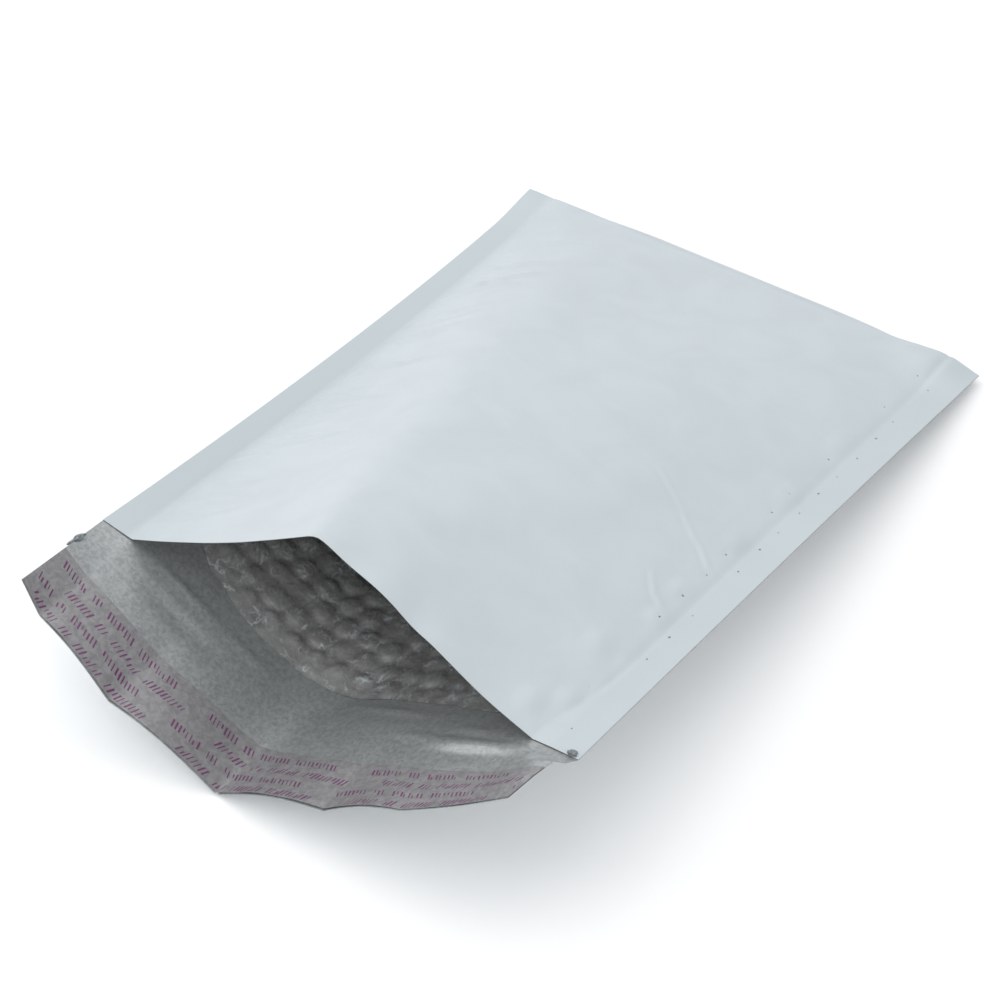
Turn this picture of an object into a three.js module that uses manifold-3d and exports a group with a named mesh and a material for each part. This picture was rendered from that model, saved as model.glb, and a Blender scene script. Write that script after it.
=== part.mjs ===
// A padded mailing envelope, lying on its back with the mouth pushed open and the flap unsealed.
//
// Millimetres. +X runs across the pocket, +Y towards its closed end and +Z up. The origin is on the
// underside of the back panel, at the middle of the pocket's flat footprint.
//
// A place on a panel is given as it was on the flat web: "across" is the distance from the left side
// edge, and "along" runs from 0 at the closed end to 1 at the lip of the mouth. The front panel is a roof
// of three facets that meet at the peak of the lip. The back panel is a floor with two raised wings.

import * as THREE from 'three';
import Module from 'manifold-3d';

const wasm = await Module();
wasm.setup();

// ---------------------------------------------------------------- driving dimensions

const POCKET_WIDTH = 216;
const POCKET_LENGTH = 288;
const FLAP_LENGTH = 47;

const FILM = 0.4;
const BUBBLE_WEB = 3.2;
const ADHESIVE = 0.3;
const LINER = 0.3;
const GAP = 0.3;
const THINNEST_HOLLOW = 0.3;

// In the fused margins the gap between the two films comes off them equally.
const FILM_IN_WELD = FILM - THINNEST_HOLLOW / 2;

// Both films and both folds of the bubble web, with one gap on each side of a web.
const CLOSED_THICKNESS = 2 * (FILM + GAP + BUBBLE_WEB) + 2 * GAP;
const PAD_SHOULDER = 14;
const WELD_TO_HOLLOW = 1.5;

// The fused side margins. Each rises from the closed end to the mouth, where it also tips inwards.
const LEFT_WELD = { width: 10, mouthHeight: 40.7, mouthTip: 3.4, risePower: 1.45 };
const RIGHT_WELD = { width: 12, mouthHeight: 44.1, mouthTip: 2.5, risePower: 0.9 };
const WELD_REST_HEIGHT = 2;

// The open mouth: the ends of the two side welds, the peak of the front lip and the low point of the back.
const MOUTH_LEFT = new THREE.Vector3(-99, -141.4, LEFT_WELD.mouthHeight);
const MOUTH_RIGHT = new THREE.Vector3(99.6, -140.9, RIGHT_WELD.mouthHeight);
const MOUTH_PEAK = new THREE.Vector3(-6.9, -134.4, 79.6);
const MOUTH_VALLEY = new THREE.Vector3(-11.7, -144.1, 0);
const PEAK_ACROSS = 101;
const VALLEY_ACROSS = 96;
const VALLEY_HALF_WIDTH = 10;

const ROOF_BLEND = 3;
const FLOOR_BLEND = 1.5;

// The flap's cut edge, as straight runs between the places where the film has kinked.
const FLAP_EDGE = [
  { across: 0, at: new THREE.Vector3(-93, -187.3, 53.5) },
  { across: 12, at: new THREE.Vector3(-85.3, -189.3, 42) },
  { across: 48, at: new THREE.Vector3(-55.3, -192.6, 21) },
  { across: VALLEY_ACROSS, at: new THREE.Vector3(-11.7, -191.3, 0) },
  { across: 141, at: new THREE.Vector3(30, -185.5, 15) },
  { across: 173, at: new THREE.Vector3(58, -180.5, 30) },
  { across: POCKET_WIDTH, at: new THREE.Vector3(92.4, -169.9, 50) },
];

// Distances from the lip, on the flap.
const LINER_START = 22.4;
const LINER_END = 46.4;
const ADHESIVE_START = 26;
const ADHESIVE_END = 43;
const STRIP_SIDE_MARGIN = 2;

const LINING_SETBACK = 4;
const MOUTH_CLEARANCE = 8;
const SEAM_OVERHANG = 3;

// ---------------------------------------------------------------- sampling

const BODY_ROWS = 12;
const FOLD_ANGLES = [75, 40, 0].map(THREE.MathUtils.degToRad);
const LEFT_COLUMNS = 6;
const RIGHT_COLUMNS = 7;
const MARGIN_COLUMN = 18;

function ladder(from, to, steps) {
  return Array.from({ length: steps + 1 }, (_, i) => from + ((to - from) * i) / steps);
}

const INNER_COLUMNS = [
  ...ladder(MARGIN_COLUMN, VALLEY_ACROSS, LEFT_COLUMNS),
  ...ladder(PEAK_ACROSS, POCKET_WIDTH - MARGIN_COLUMN, RIGHT_COLUMNS),
];

// Every layer has the same inner columns and rows, so that its neighbours' facets run parallel to it.
function columnsBetween(leftColumns, rightColumns) {
  return [...leftColumns, ...INNER_COLUMNS, ...rightColumns.map((inset) => POCKET_WIDTH - inset)];
}

const STRIP_COLUMNS = columnsBetween(
  [STRIP_SIDE_MARGIN, LEFT_WELD.width],
  [RIGHT_WELD.width, STRIP_SIDE_MARGIN],
);
const WEB_COLUMNS = [0, ...STRIP_COLUMNS, POCKET_WIDTH];

function columnsInside(clearOfWeld) {
  return columnsBetween([LEFT_WELD.width + clearOfWeld], [RIGHT_WELD.width + clearOfWeld]);
}

const LINING_LIP = 1 - LINING_SETBACK / POCKET_LENGTH;
const PAST_LIP = 1 + MOUTH_CLEARANCE / POCKET_LENGTH;
const LINING_ROWS = [...ladder(1 / BODY_ROWS, 1 - 1 / BODY_ROWS, BODY_ROWS - 2), LINING_LIP];
const SKIN_ROWS = [...LINING_ROWS, 1];
const HOLLOW_ROWS = [...SKIN_ROWS, PAST_LIP];

// ---------------------------------------------------------------- the panels' surfaces

const { lerp } = THREE.MathUtils;

// The larger of two heights, rounded where they cross and exact beyond the blend.
function softMax(a, b, blend) {
  const near = Math.max(blend - Math.abs(a - b), 0) / blend;
  return Math.max(a, b) + (near * near * blend) / 4;
}

function softMin(a, b, blend) {
  return -softMax(-a, -b, blend);
}

function weldHeight(weld, fromEdge, along) {
  const edge = lerp(WELD_REST_HEIGHT, weld.mouthHeight, along ** weld.risePower);
  return edge - (weld.mouthTip * along * fromEdge) / weld.width;
}

// A side facet: level with the weld beside it, then a straight slope to the crease where it meets the
// middle facet. The crease runs from beside the weld at the closed end to its place at the lip.
function facetHeight(weld, fromEdge, along, skin, creaseAtLip, creaseHeight) {
  if (fromEdge <= weld.width) {
    return weldHeight(weld, fromEdge, along) + skin;
  }
  const crease = lerp(weld.width + PAD_SHOULDER, creaseAtLip, along);
  const share = (fromEdge - weld.width) / (crease - weld.width);
  return lerp(weldHeight(weld, weld.width, along) + skin, creaseHeight, share);
}

function frontHeight(across, along) {
  const middle = lerp(CLOSED_THICKNESS, MOUTH_PEAK.z, along);
  const fromRight = POCKET_WIDTH - across;
  const rightCrease = POCKET_WIDTH - PEAK_ACROSS;
  const left = facetHeight(LEFT_WELD, across, along, FILM, PEAK_ACROSS, middle);
  const right = facetHeight(RIGHT_WELD, fromRight, along, FILM, rightCrease, middle);
  return softMin(softMin(left, right, ROOF_BLEND), middle, ROOF_BLEND);
}

function backHeight(across, along) {
  const fromRight = POCKET_WIDTH - across;
  const leftCrease = VALLEY_ACROSS - VALLEY_HALF_WIDTH;
  const rightCrease = POCKET_WIDTH - VALLEY_ACROSS - VALLEY_HALF_WIDTH;
  const left = facetHeight(LEFT_WELD, across, along, -FILM, leftCrease, 0);
  const right = facetHeight(RIGHT_WELD, fromRight, along, -FILM, rightCrease, 0);
  return softMax(softMax(left, right, FLOOR_BLEND), 0, FLOOR_BLEND);
}

// Where a place on a panel stands in plan, between its flat closed end and its creased lip.
function planPoint(across, along, crease, creaseAcross) {
  const lip = across < creaseAcross
    ? MOUTH_LEFT.clone().lerp(crease, across / creaseAcross)
    : crease.clone().lerp(MOUTH_RIGHT, (across - creaseAcross) / (POCKET_WIDTH - creaseAcross));
  return {
    x: lerp(across - POCKET_WIDTH / 2, lip.x, along),
    y: lerp(POCKET_LENGTH / 2, lip.y, along),
  };
}

// The lower and upper points of one layer of the wall at one place. An inset of 0 is the outer skin.
function layerPoints(across, along, inset) {
  const bottom = backHeight(across, along);
  const top = frontHeight(across, along);
  const middle = (bottom + top) / 2;
  const half = Math.max((top - bottom) / 2 - inset, THINNEST_HOLLOW / 2);
  const below = planPoint(across, along, MOUTH_VALLEY, VALLEY_ACROSS);
  const above = planPoint(across, along, MOUTH_PEAK, PEAK_ACROSS);
  return {
    half,
    lower: new THREE.Vector3(below.x, below.y, middle - half),
    upper: new THREE.Vector3(above.x, above.y, middle + half),
  };
}

// A row of the rounded closed end: the layer's end turns over as a half circle as high as the layer.
function foldRow(columns, inset, angle) {
  const places = columns.map((across) => layerPoints(across, 0, inset));
  places.forEach(({ half, lower, upper }) => {
    const y = POCKET_LENGTH / 2 - inset - half * (1 - Math.sin(angle));
    const drop = half * (1 - Math.cos(angle));
    lower.set(lower.x, y, lower.z + drop);
    upper.set(upper.x, y, upper.z - drop);
  });
  return places;
}

// The two sheets of a layer: the fold over the closed end, and then a row at each place along.
function layerSheets(columns, rowPlaces, inset) {
  const rows = [
    ...FOLD_ANGLES.map((angle) => foldRow(columns, inset, angle)),
    ...rowPlaces.map((along) => columns.map((across) => layerPoints(across, along, inset))),
  ];
  return {
    lower: rows.map((row) => row.map((place) => place.lower)),
    upper: rows.map((row) => row.map((place) => place.upper)),
  };
}

// A thin sheet halfway up between the panels, which reaches past every edge of the pocket.
function seamSheets() {
  const columns = [-SEAM_OVERHANG, ...WEB_COLUMNS, POCKET_WIDTH + SEAM_OVERHANG];
  const rows = [0, ...HOLLOW_ROWS].map(
    (along) => columns.map((across) => layerPoints(across, along, Infinity)),
  );
  rows[0].forEach(({ lower, upper }) => {
    lower.y += SEAM_OVERHANG;
    upper.y += SEAM_OVERHANG;
  });
  return {
    lower: rows.map((row) => row.map((place) => place.lower)),
    upper: rows.map((row) => row.map((place) => place.upper)),
  };
}

// ---------------------------------------------------------------- the flap

function flapEdgePoint(across) {
  const next = Math.max(FLAP_EDGE.findIndex((kink) => kink.across >= across), 1);
  const [from, to] = [FLAP_EDGE[next - 1], FLAP_EDGE[next]];
  return from.at.clone().lerp(to.at, (across - from.across) / (to.across - from.across));
}

// Straight lines across the flap join the back panel's lip to the cut edge.
function flapRow(columns, fromLip, height) {
  return columns.map((across) => {
    const lip = layerPoints(across, 1, 0).lower;
    const point = lip.lerp(flapEdgePoint(across), fromLip / FLAP_LENGTH);
    return point.setZ(point.z + height);
  });
}

const ADHESIVE_STATIONS = [ADHESIVE_START, ADHESIVE_END];
const LINER_STATIONS = [LINER_START, ...ADHESIVE_STATIONS, LINER_END];
const FLAP_STATIONS = [...LINER_STATIONS, FLAP_LENGTH];

// A strip that lies on the flap, at a height over the film's underside.
function flapStrip(stations, height, thickness) {
  const lower = stations.map((fromLip) => flapRow(STRIP_COLUMNS, fromLip, height));
  const upper = stations.map((fromLip) => flapRow(STRIP_COLUMNS, fromLip, height + thickness));
  return closedBody(lower, upper);
}

// ---------------------------------------------------------------- solids

// The body between two sheets with the same rows and columns, closed by a wall round their rims.
function closedBody(lower, upper) {
  const rows = upper.length;
  const columns = upper[0].length;
  const low = (row, column) => row * columns + column;
  const high = (row, column) => rows * columns + low(row, column);
  const faces = [];
  for (let row = 0; row < rows - 1; row += 1) {
    for (let column = 0; column < columns - 1; column += 1) {
      faces.push(high(row, column), high(row + 1, column), high(row + 1, column + 1));
      faces.push(high(row, column), high(row + 1, column + 1), high(row, column + 1));
      faces.push(low(row, column), low(row + 1, column + 1), low(row + 1, column));
      faces.push(low(row, column), low(row, column + 1), low(row + 1, column + 1));
    }
  }
  const rim = [];
  for (let column = 0; column < columns - 1; column += 1) {
    rim.push([rows - 1, column]);
  }
  for (let row = rows - 1; row > 0; row -= 1) {
    rim.push([row, columns - 1]);
  }
  for (let column = columns - 1; column > 0; column -= 1) {
    rim.push([0, column]);
  }
  for (let row = 0; row < rows - 1; row += 1) {
    rim.push([row, 0]);
  }
  rim.forEach((from, index) => {
    const to = rim[(index + 1) % rim.length];
    faces.push(low(...from), low(...to), high(...to));
    faces.push(low(...from), high(...to), high(...from));
  });
  const vertices = [...lower.flat(), ...upper.flat()].flatMap((point) => point.toArray());
  return new wasm.Manifold(new wasm.Mesh({
    numProp: 3,
    vertProperties: new Float32Array(vertices),
    triVerts: new Uint32Array(faces),
  }));
}

function meshFrom(name, solid, material) {
  const { vertProperties, triVerts } = solid.getMesh();
  const geometry = new THREE.BufferGeometry();
  geometry.setAttribute('position', new THREE.BufferAttribute(vertProperties, 3));
  geometry.setIndex(new THREE.BufferAttribute(triVerts, 1));
  geometry.computeVertexNormals();
  const mesh = new THREE.Mesh(geometry, new THREE.MeshStandardMaterial(material));
  mesh.name = name;
  return mesh;
}

// ---------------------------------------------------------------- the pieces

// A wall goes round the pocket in one web, but it is made as a front and a back, with a gap where it
// folds at the closed end and where its side margins are fused.
function frontAndBack(wall) {
  const seam = seamSheets();
  const [first, second] = wall.subtract(closedBody(seam.lower, seam.upper)).decompose();
  const firstIsFront = first.boundingBox().max[2] > second.boundingBox().max[2];
  return firstIsFront ? { front: first, back: second } : { front: second, back: first };
}

// The back panel's film runs on past the lip as the flap.
function outerFilm() {
  const skin = layerSheets(WEB_COLUMNS, SKIN_ROWS, 0);
  const hollow = layerSheets(columnsInside(WELD_TO_HOLLOW), HOLLOW_ROWS, FILM);
  const panels = closedBody(skin.lower, skin.upper).subtract(closedBody(hollow.lower, hollow.upper));
  const { front, back } = frontAndBack(panels);
  const flapLower = [
    ...skin.lower.slice(-2),
    ...FLAP_STATIONS.map((fromLip) => flapRow(WEB_COLUMNS, fromLip, 0)),
  ];
  const flapUpper = flapLower.map((row) => row.map((point) => point.clone().setZ(point.z + FILM_IN_WELD)));
  return { front, back: back.add(closedBody(flapLower, flapUpper)) };
}

function bubbleLining() {
  const web = layerSheets(columnsInside(WELD_TO_HOLLOW + GAP), LINING_ROWS, FILM + GAP);
  const pocket = layerSheets(INNER_COLUMNS, SKIN_ROWS, FILM + GAP + BUBBLE_WEB);
  return frontAndBack(closedBody(web.lower, web.upper).subtract(closedBody(pocket.lower, pocket.upper)));
}

function adhesiveStrip() {
  return flapStrip(ADHESIVE_STATIONS, FILM_IN_WELD + GAP, ADHESIVE);
}

function releaseLiner() {
  return flapStrip(LINER_STATIONS, FILM_IN_WELD + GAP + ADHESIVE + GAP, LINER);
}

const WHITE_FILM = { color: 0xe3e9ed, roughness: 0.42, metalness: 0 };
const BUBBLE_FILM = { color: 0x6c6f70, roughness: 0.25, metalness: 0 };
const film = outerFilm();
const lining = bubbleLining();

const envelope = new THREE.Group();
envelope.add(
  meshFrom('front_film', film.front, WHITE_FILM),
  meshFrom('back_film', film.back, WHITE_FILM),
  meshFrom('front_lining', lining.front, BUBBLE_FILM),
  meshFrom('back_lining', lining.back, BUBBLE_FILM),
  meshFrom('adhesive_strip', adhesiveStrip(), { color: 0xcfc9b8, roughness: 0.5, metalness: 0 }),
  meshFrom('release_liner', releaseLiner(), { color: 0xb7b3b6, roughness: 0.35, metalness: 0 }),
);

export default envelope;
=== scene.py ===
"""Looks for a padded mailing envelope: film pouch, bubble lining, flap, adhesive and release liner.

The envelope lies on its back with its mouth pushed open. Shapes are worked out in millimetres, in the
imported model's own frame, and turned into metres as each mesh is made.
"""

import logging
import math
from dataclasses import dataclass
from enum import Enum
from typing import Optional, Sequence

import bmesh
import bpy
import numpy as np
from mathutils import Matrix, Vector


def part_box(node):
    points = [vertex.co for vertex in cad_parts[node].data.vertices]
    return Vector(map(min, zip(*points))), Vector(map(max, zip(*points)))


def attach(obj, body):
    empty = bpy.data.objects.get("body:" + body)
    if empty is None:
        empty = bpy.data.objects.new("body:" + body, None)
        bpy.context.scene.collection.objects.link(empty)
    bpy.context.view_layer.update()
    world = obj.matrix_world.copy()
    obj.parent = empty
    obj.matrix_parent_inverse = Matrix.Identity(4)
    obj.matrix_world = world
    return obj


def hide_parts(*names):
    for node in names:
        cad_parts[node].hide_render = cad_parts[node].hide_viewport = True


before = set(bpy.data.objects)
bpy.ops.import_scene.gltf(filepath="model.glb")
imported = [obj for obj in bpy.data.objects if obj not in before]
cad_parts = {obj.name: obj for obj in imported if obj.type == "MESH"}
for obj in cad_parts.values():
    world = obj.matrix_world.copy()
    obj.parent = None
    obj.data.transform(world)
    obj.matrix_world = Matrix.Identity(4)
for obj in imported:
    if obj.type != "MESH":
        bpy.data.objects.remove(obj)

LOG = logging.getLogger("padded_envelope")
METRES = 0.001
BODY = "root"
FUSED = "fused"
NOISE_KNOTS = 64
NOISE_SHIFT = 500.0
SCATTER = (12.9898, 78.233, 43758.5453)
BLACK, WHITE = (0.0, 0.0, 0.0), (1.0, 1.0, 1.0)

Array = np.ndarray


class Slot(Enum):
    """The record's material slots."""

    WHITE_FILM = "white_film"
    BUBBLE_FILM = "bubble_film"
    HOT_MELT = "hot_melt"
    LINER_STRIP = "liner_strip"


class Node(Enum):
    """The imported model's nodes, which the pieces here stand for."""

    FRONT_FILM = "front_film"
    BACK_FILM = "back_film"
    FRONT_LINING = "front_lining"
    BACK_LINING = "back_lining"
    ADHESIVE_STRIP = "adhesive_strip"
    RELEASE_LINER = "release_liner"


# ---------------------------------------------------------------- small sums


def lerp(start: Array, end: Array, share: Array) -> Array:
    """Returns the value a share of the way from start to end."""
    return start + (end - start) * share


def smooth(share: Array) -> Array:
    """Returns a share eased in and out, and held between 0 and 1."""
    held = np.clip(share, 0.0, 1.0)
    return held * held * (3.0 - 2.0 * held)


def bell(distance: Array, half_width: float) -> Array:
    """Returns a soft bump: 1 at a distance of 0 and 0 at half_width and beyond."""
    return smooth(1.0 - np.abs(distance) / half_width)


def soft_max(first: Array, second: Array, blend: Array) -> Array:
    """Gives the larger of two heights, rounded where they cross.

    Args:
        first: One height.
        second: The other height.
        blend: How far apart the two are where the rounding starts.

    Returns:
        The larger height, exact beyond the blend.
    """
    near = np.maximum(blend - np.abs(first - second), 0.0) / blend
    return np.maximum(first, second) + near * near * blend / 4.0


def soft_min(first: Array, second: Array, blend: Array) -> Array:
    """Returns the smaller of two heights, rounded where they cross."""
    return -soft_max(-first, -second, blend)


def value_noise(x: Array, y: Array, size: float, seed: int) -> Array:
    """Makes smooth, seeded noise over a plane.

    Args:
        x: Places along one axis, in mm.
        y: Places along the other axis, in mm.
        size: The distance between the noise's knots, in mm.
        seed: The seed of the knots' values.

    Returns:
        Noise from -1 to 1, in the shape of x.
    """
    knots = np.random.default_rng(seed).uniform(-1.0, 1.0, (NOISE_KNOTS, NOISE_KNOTS))
    column, row = x / size + NOISE_SHIFT, y / size + NOISE_SHIFT
    left, low = np.floor(column).astype(int), np.floor(row).astype(int)
    across, up = smooth(column - left), smooth(row - low)

    def knot(right: int, above: int) -> Array:
        """Returns the value of the knot that is so many columns right and rows above."""
        return knots[(low + above) % NOISE_KNOTS, (left + right) % NOISE_KNOTS]

    return lerp(lerp(knot(0, 0), knot(1, 0), across), lerp(knot(0, 1), knot(1, 1), across), up)


# ---------------------------------------------------------------- the pouch's shape


@dataclass(frozen=True)
class SideWeld:
    """A fused side margin, and the slopes of the panels that start at it.

    "along" runs from 0 at the closed end to 1 at the lip of the mouth.
    """

    width: float
    width_at_lip: float
    mouth_height: float
    mouth_tip: float
    rise_power: float
    front_crease_at_lip: float
    back_crease_at_lip: float
    front_sag: float
    rest_height: float = 2.0
    shoulder: float = 14.0
    opens_from: float = 0.82
    sags_from: float = 0.3

    def flange(self, along: Array) -> Array:
        """Returns the width of the flat margin, which opens out a little at the lip."""
        opened = smooth((along - self.opens_from) / (1.0 - self.opens_from))
        return lerp(self.width, self.width_at_lip, opened)

    def height(self, from_edge: Array, along: Array) -> Array:
        """Returns the height of the margin's middle."""
        held = np.clip(along, 0.0, 1.0)
        edge = lerp(self.rest_height, self.mouth_height, held ** self.rise_power)
        return edge - self.mouth_tip * held * from_edge / self.flange(along)

    def facet(self, from_edge: Array, along: Array, skin: float, crease_at_lip: float,
              crease_height: Array, sag: float) -> Array:
        """Gives the height of the panel beside the margin.

        Args:
            from_edge: Distance in from the side edge.
            along: Share of the way to the lip.
            skin: The panel's height over the middle of the margin.
            crease_at_lip: Distance in from the side edge, at the lip, of the crease where the slope ends.
            crease_height: Height of that crease.
            sag: How far the middle of the slope hangs below a straight line at the lip.

        Returns:
            Heights: level with the margin, and then a slope up or down to the crease.
        """
        flange = self.flange(along)
        crease = lerp(self.width + self.shoulder, crease_at_lip, along)
        share = (from_edge - flange) / (crease - flange)
        slope = lerp(self.height(flange, along) + skin, crease_height, share)
        hang = smooth((along - self.sags_from) / (1.0 - self.sags_from))
        slope -= sag * np.sin(math.pi * np.clip(share, 0.0, 1.0)) * hang
        return np.where(from_edge <= flange, self.height(from_edge, along) + skin, slope)


@dataclass(frozen=True)
class Bump:
    """A soft swelling or dent in a panel, at a distance across it and a distance in from the lip."""

    across: float
    from_lip: float
    half_across: float
    half_along: float
    height: float

    def over(self, across: Array, from_lip: Array) -> Array:
        """Returns the bump's height at each place."""
        shape = bell(across - self.across, self.half_across)
        return self.height * (shape * bell(from_lip - self.from_lip, self.half_along))


@dataclass(frozen=True)
class Crease:
    """A pressed line in a panel from one place to another: a low ridge with a shallow valley beside it."""

    start: tuple[float, float]
    end: tuple[float, float]
    width: float
    height: float
    taper: float = 0.3
    bluntness: float = 0.2
    valley_offset: float = 1.2
    valley_width: float = 1.3
    valley_depth: float = 0.6

    def over(self, across: Array, from_lip: Array) -> Array:
        """Returns the crease's height at each place."""
        (x0, y0), (x1, y1) = self.start, self.end
        length = math.hypot(x1 - x0, y1 - y0)
        ux, uy = (x1 - x0) / length, (y1 - y0) / length
        run = (across - x0) * ux + (from_lip - y0) * uy
        side = (across - x0) * uy - (from_lip - y0) * ux
        taper = self.taper * length
        ends = smooth(run / taper + self.bluntness) * smooth((length - run) / taper + self.bluntness)
        ridge = bell(side, self.width)
        valley = bell(side - self.valley_offset * self.width, self.valley_width * self.width)
        return self.height * ends * (ridge - self.valley_depth * valley)


@dataclass(frozen=True)
class Swell:
    """A soft ridge, or a groove where its height is below 0, that runs alongside a side edge."""

    from_edge: float
    half_width: float
    height: float

    def over(self, from_edge: Array) -> Array:
        """Returns the ridge's height at each distance in from the edge."""
        return self.height * bell(from_edge - self.from_edge, self.half_width)


@dataclass(frozen=True)
class FrontRelief:
    """The small forms of the front panel's film: wrinkles, creases, puffs, and puckered needle marks."""

    width: float
    length: float
    seed: int = 7
    bumps: tuple[Bump, ...] = ()
    creases: tuple[Crease, ...] = ()
    wrinkle_count: int = 30
    wrinkle_start: float = 8.0
    wrinkle_ends: float = 30.0
    wrinkle_stray: float = 0.3
    wrinkle_reach: tuple[float, float] = (16.0, 40.0)
    wrinkle_slant: tuple[float, float] = (-0.15, 0.75)
    wrinkle_inset: tuple[float, float] = (9.0, 15.0)
    wrinkle_width: tuple[float, float] = (1.8, 3.2)
    wrinkle_height: tuple[float, float] = (0.2, 0.62)
    undulation: float = 0.22
    undulation_sizes: tuple[float, float] = (34.0, 13.0)
    edge_fades: tuple[float, float] = (16.0, 18.0)
    left_groove: Swell = Swell(11.0, 2.6, -0.40)
    right_groove: Swell = Swell(13.5, 3.2, -0.35)
    groove_fade: float = 12.0
    needle_rows: tuple[float, ...] = (10.7, 18.0)
    needle_pitch: float = 14.8
    needle_share: float = 0.62
    needle_start: float = 12.0
    needle_stagger: float = 5.0
    needle_end: float = 14.0
    needle_stray: tuple[float, float] = (0.5, 1.6)
    pucker_depth: float = 0.28
    pucker_radius: float = 2.8

    def wrinkles(self) -> list[Crease]:
        """Makes the tension wrinkles that run slantwise out of the left margin."""
        chance = np.random.default_rng(self.seed)
        made = []
        span = self.length - self.wrinkle_ends
        for index in range(self.wrinkle_count):
            stray = chance.uniform(-self.wrinkle_stray, self.wrinkle_stray)
            start = self.wrinkle_start + span * (index + stray) / self.wrinkle_count
            reach, slant, inset, width, height = (chance.uniform(*limits) for limits in (
                self.wrinkle_reach, self.wrinkle_slant, self.wrinkle_inset, self.wrinkle_width,
                self.wrinkle_height))
            made.append(Crease((inset, start), (inset + reach, start + reach * slant), width, height))
        return made

    def over(self, across: Array, from_lip: Array) -> Array:
        """Gives the height of the small forms over the panel's plain shape.

        Args:
            across: Distance from the left side edge.
            from_lip: Distance in from the lip.

        Returns:
            Heights in mm.
        """
        left_fade, right_fade = self.edge_fades
        coarse, fine = self.undulation_sizes
        fade = smooth(across / left_fade) * smooth((self.width - across) / right_fade)
        total = self.undulation * value_noise(across, from_lip, coarse, 1) * fade
        total += 0.5 * self.undulation * value_noise(across, from_lip, fine, 2) * fade
        for form in (*self.bumps, *self.creases, *self.wrinkles()):
            total = total + form.over(across, from_lip)
        from_right = self.width - across
        grooves = self.right_groove.over(from_right) + self.left_groove.over(across)
        total += grooves * smooth(from_lip / self.groove_fade)
        for inset, away in self.needle_marks():
            near = np.hypot(from_lip - away, from_right - inset)
            total -= self.pucker_depth * bell(near, self.pucker_radius)
        return total

    def needle_marks(self) -> list[tuple[float, float]]:
        """Gives the rows of needle marks along the right weld.

        Returns:
            Each mark's distance in from the right side edge and in from the lip.
        """
        chance = np.random.default_rng(self.seed + 1)
        marks = []
        aside, ahead = self.needle_stray
        for number, inset in enumerate(self.needle_rows):
            away = self.needle_start + number * self.needle_stagger
            while away < self.length - self.needle_end:
                if chance.uniform() < self.needle_share:
                    stray = chance.uniform(-aside, aside), chance.uniform(-ahead, ahead)
                    marks.append((inset + stray[0], away + stray[1]))
                away += self.needle_pitch
        return marks


@dataclass(frozen=True)
class FlapKink:
    """A place on the flap's cut edge where the film has kinked, and how high it arches after it."""

    across: float
    at: tuple[float, float, float]
    arch: float = 0.0


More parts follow.
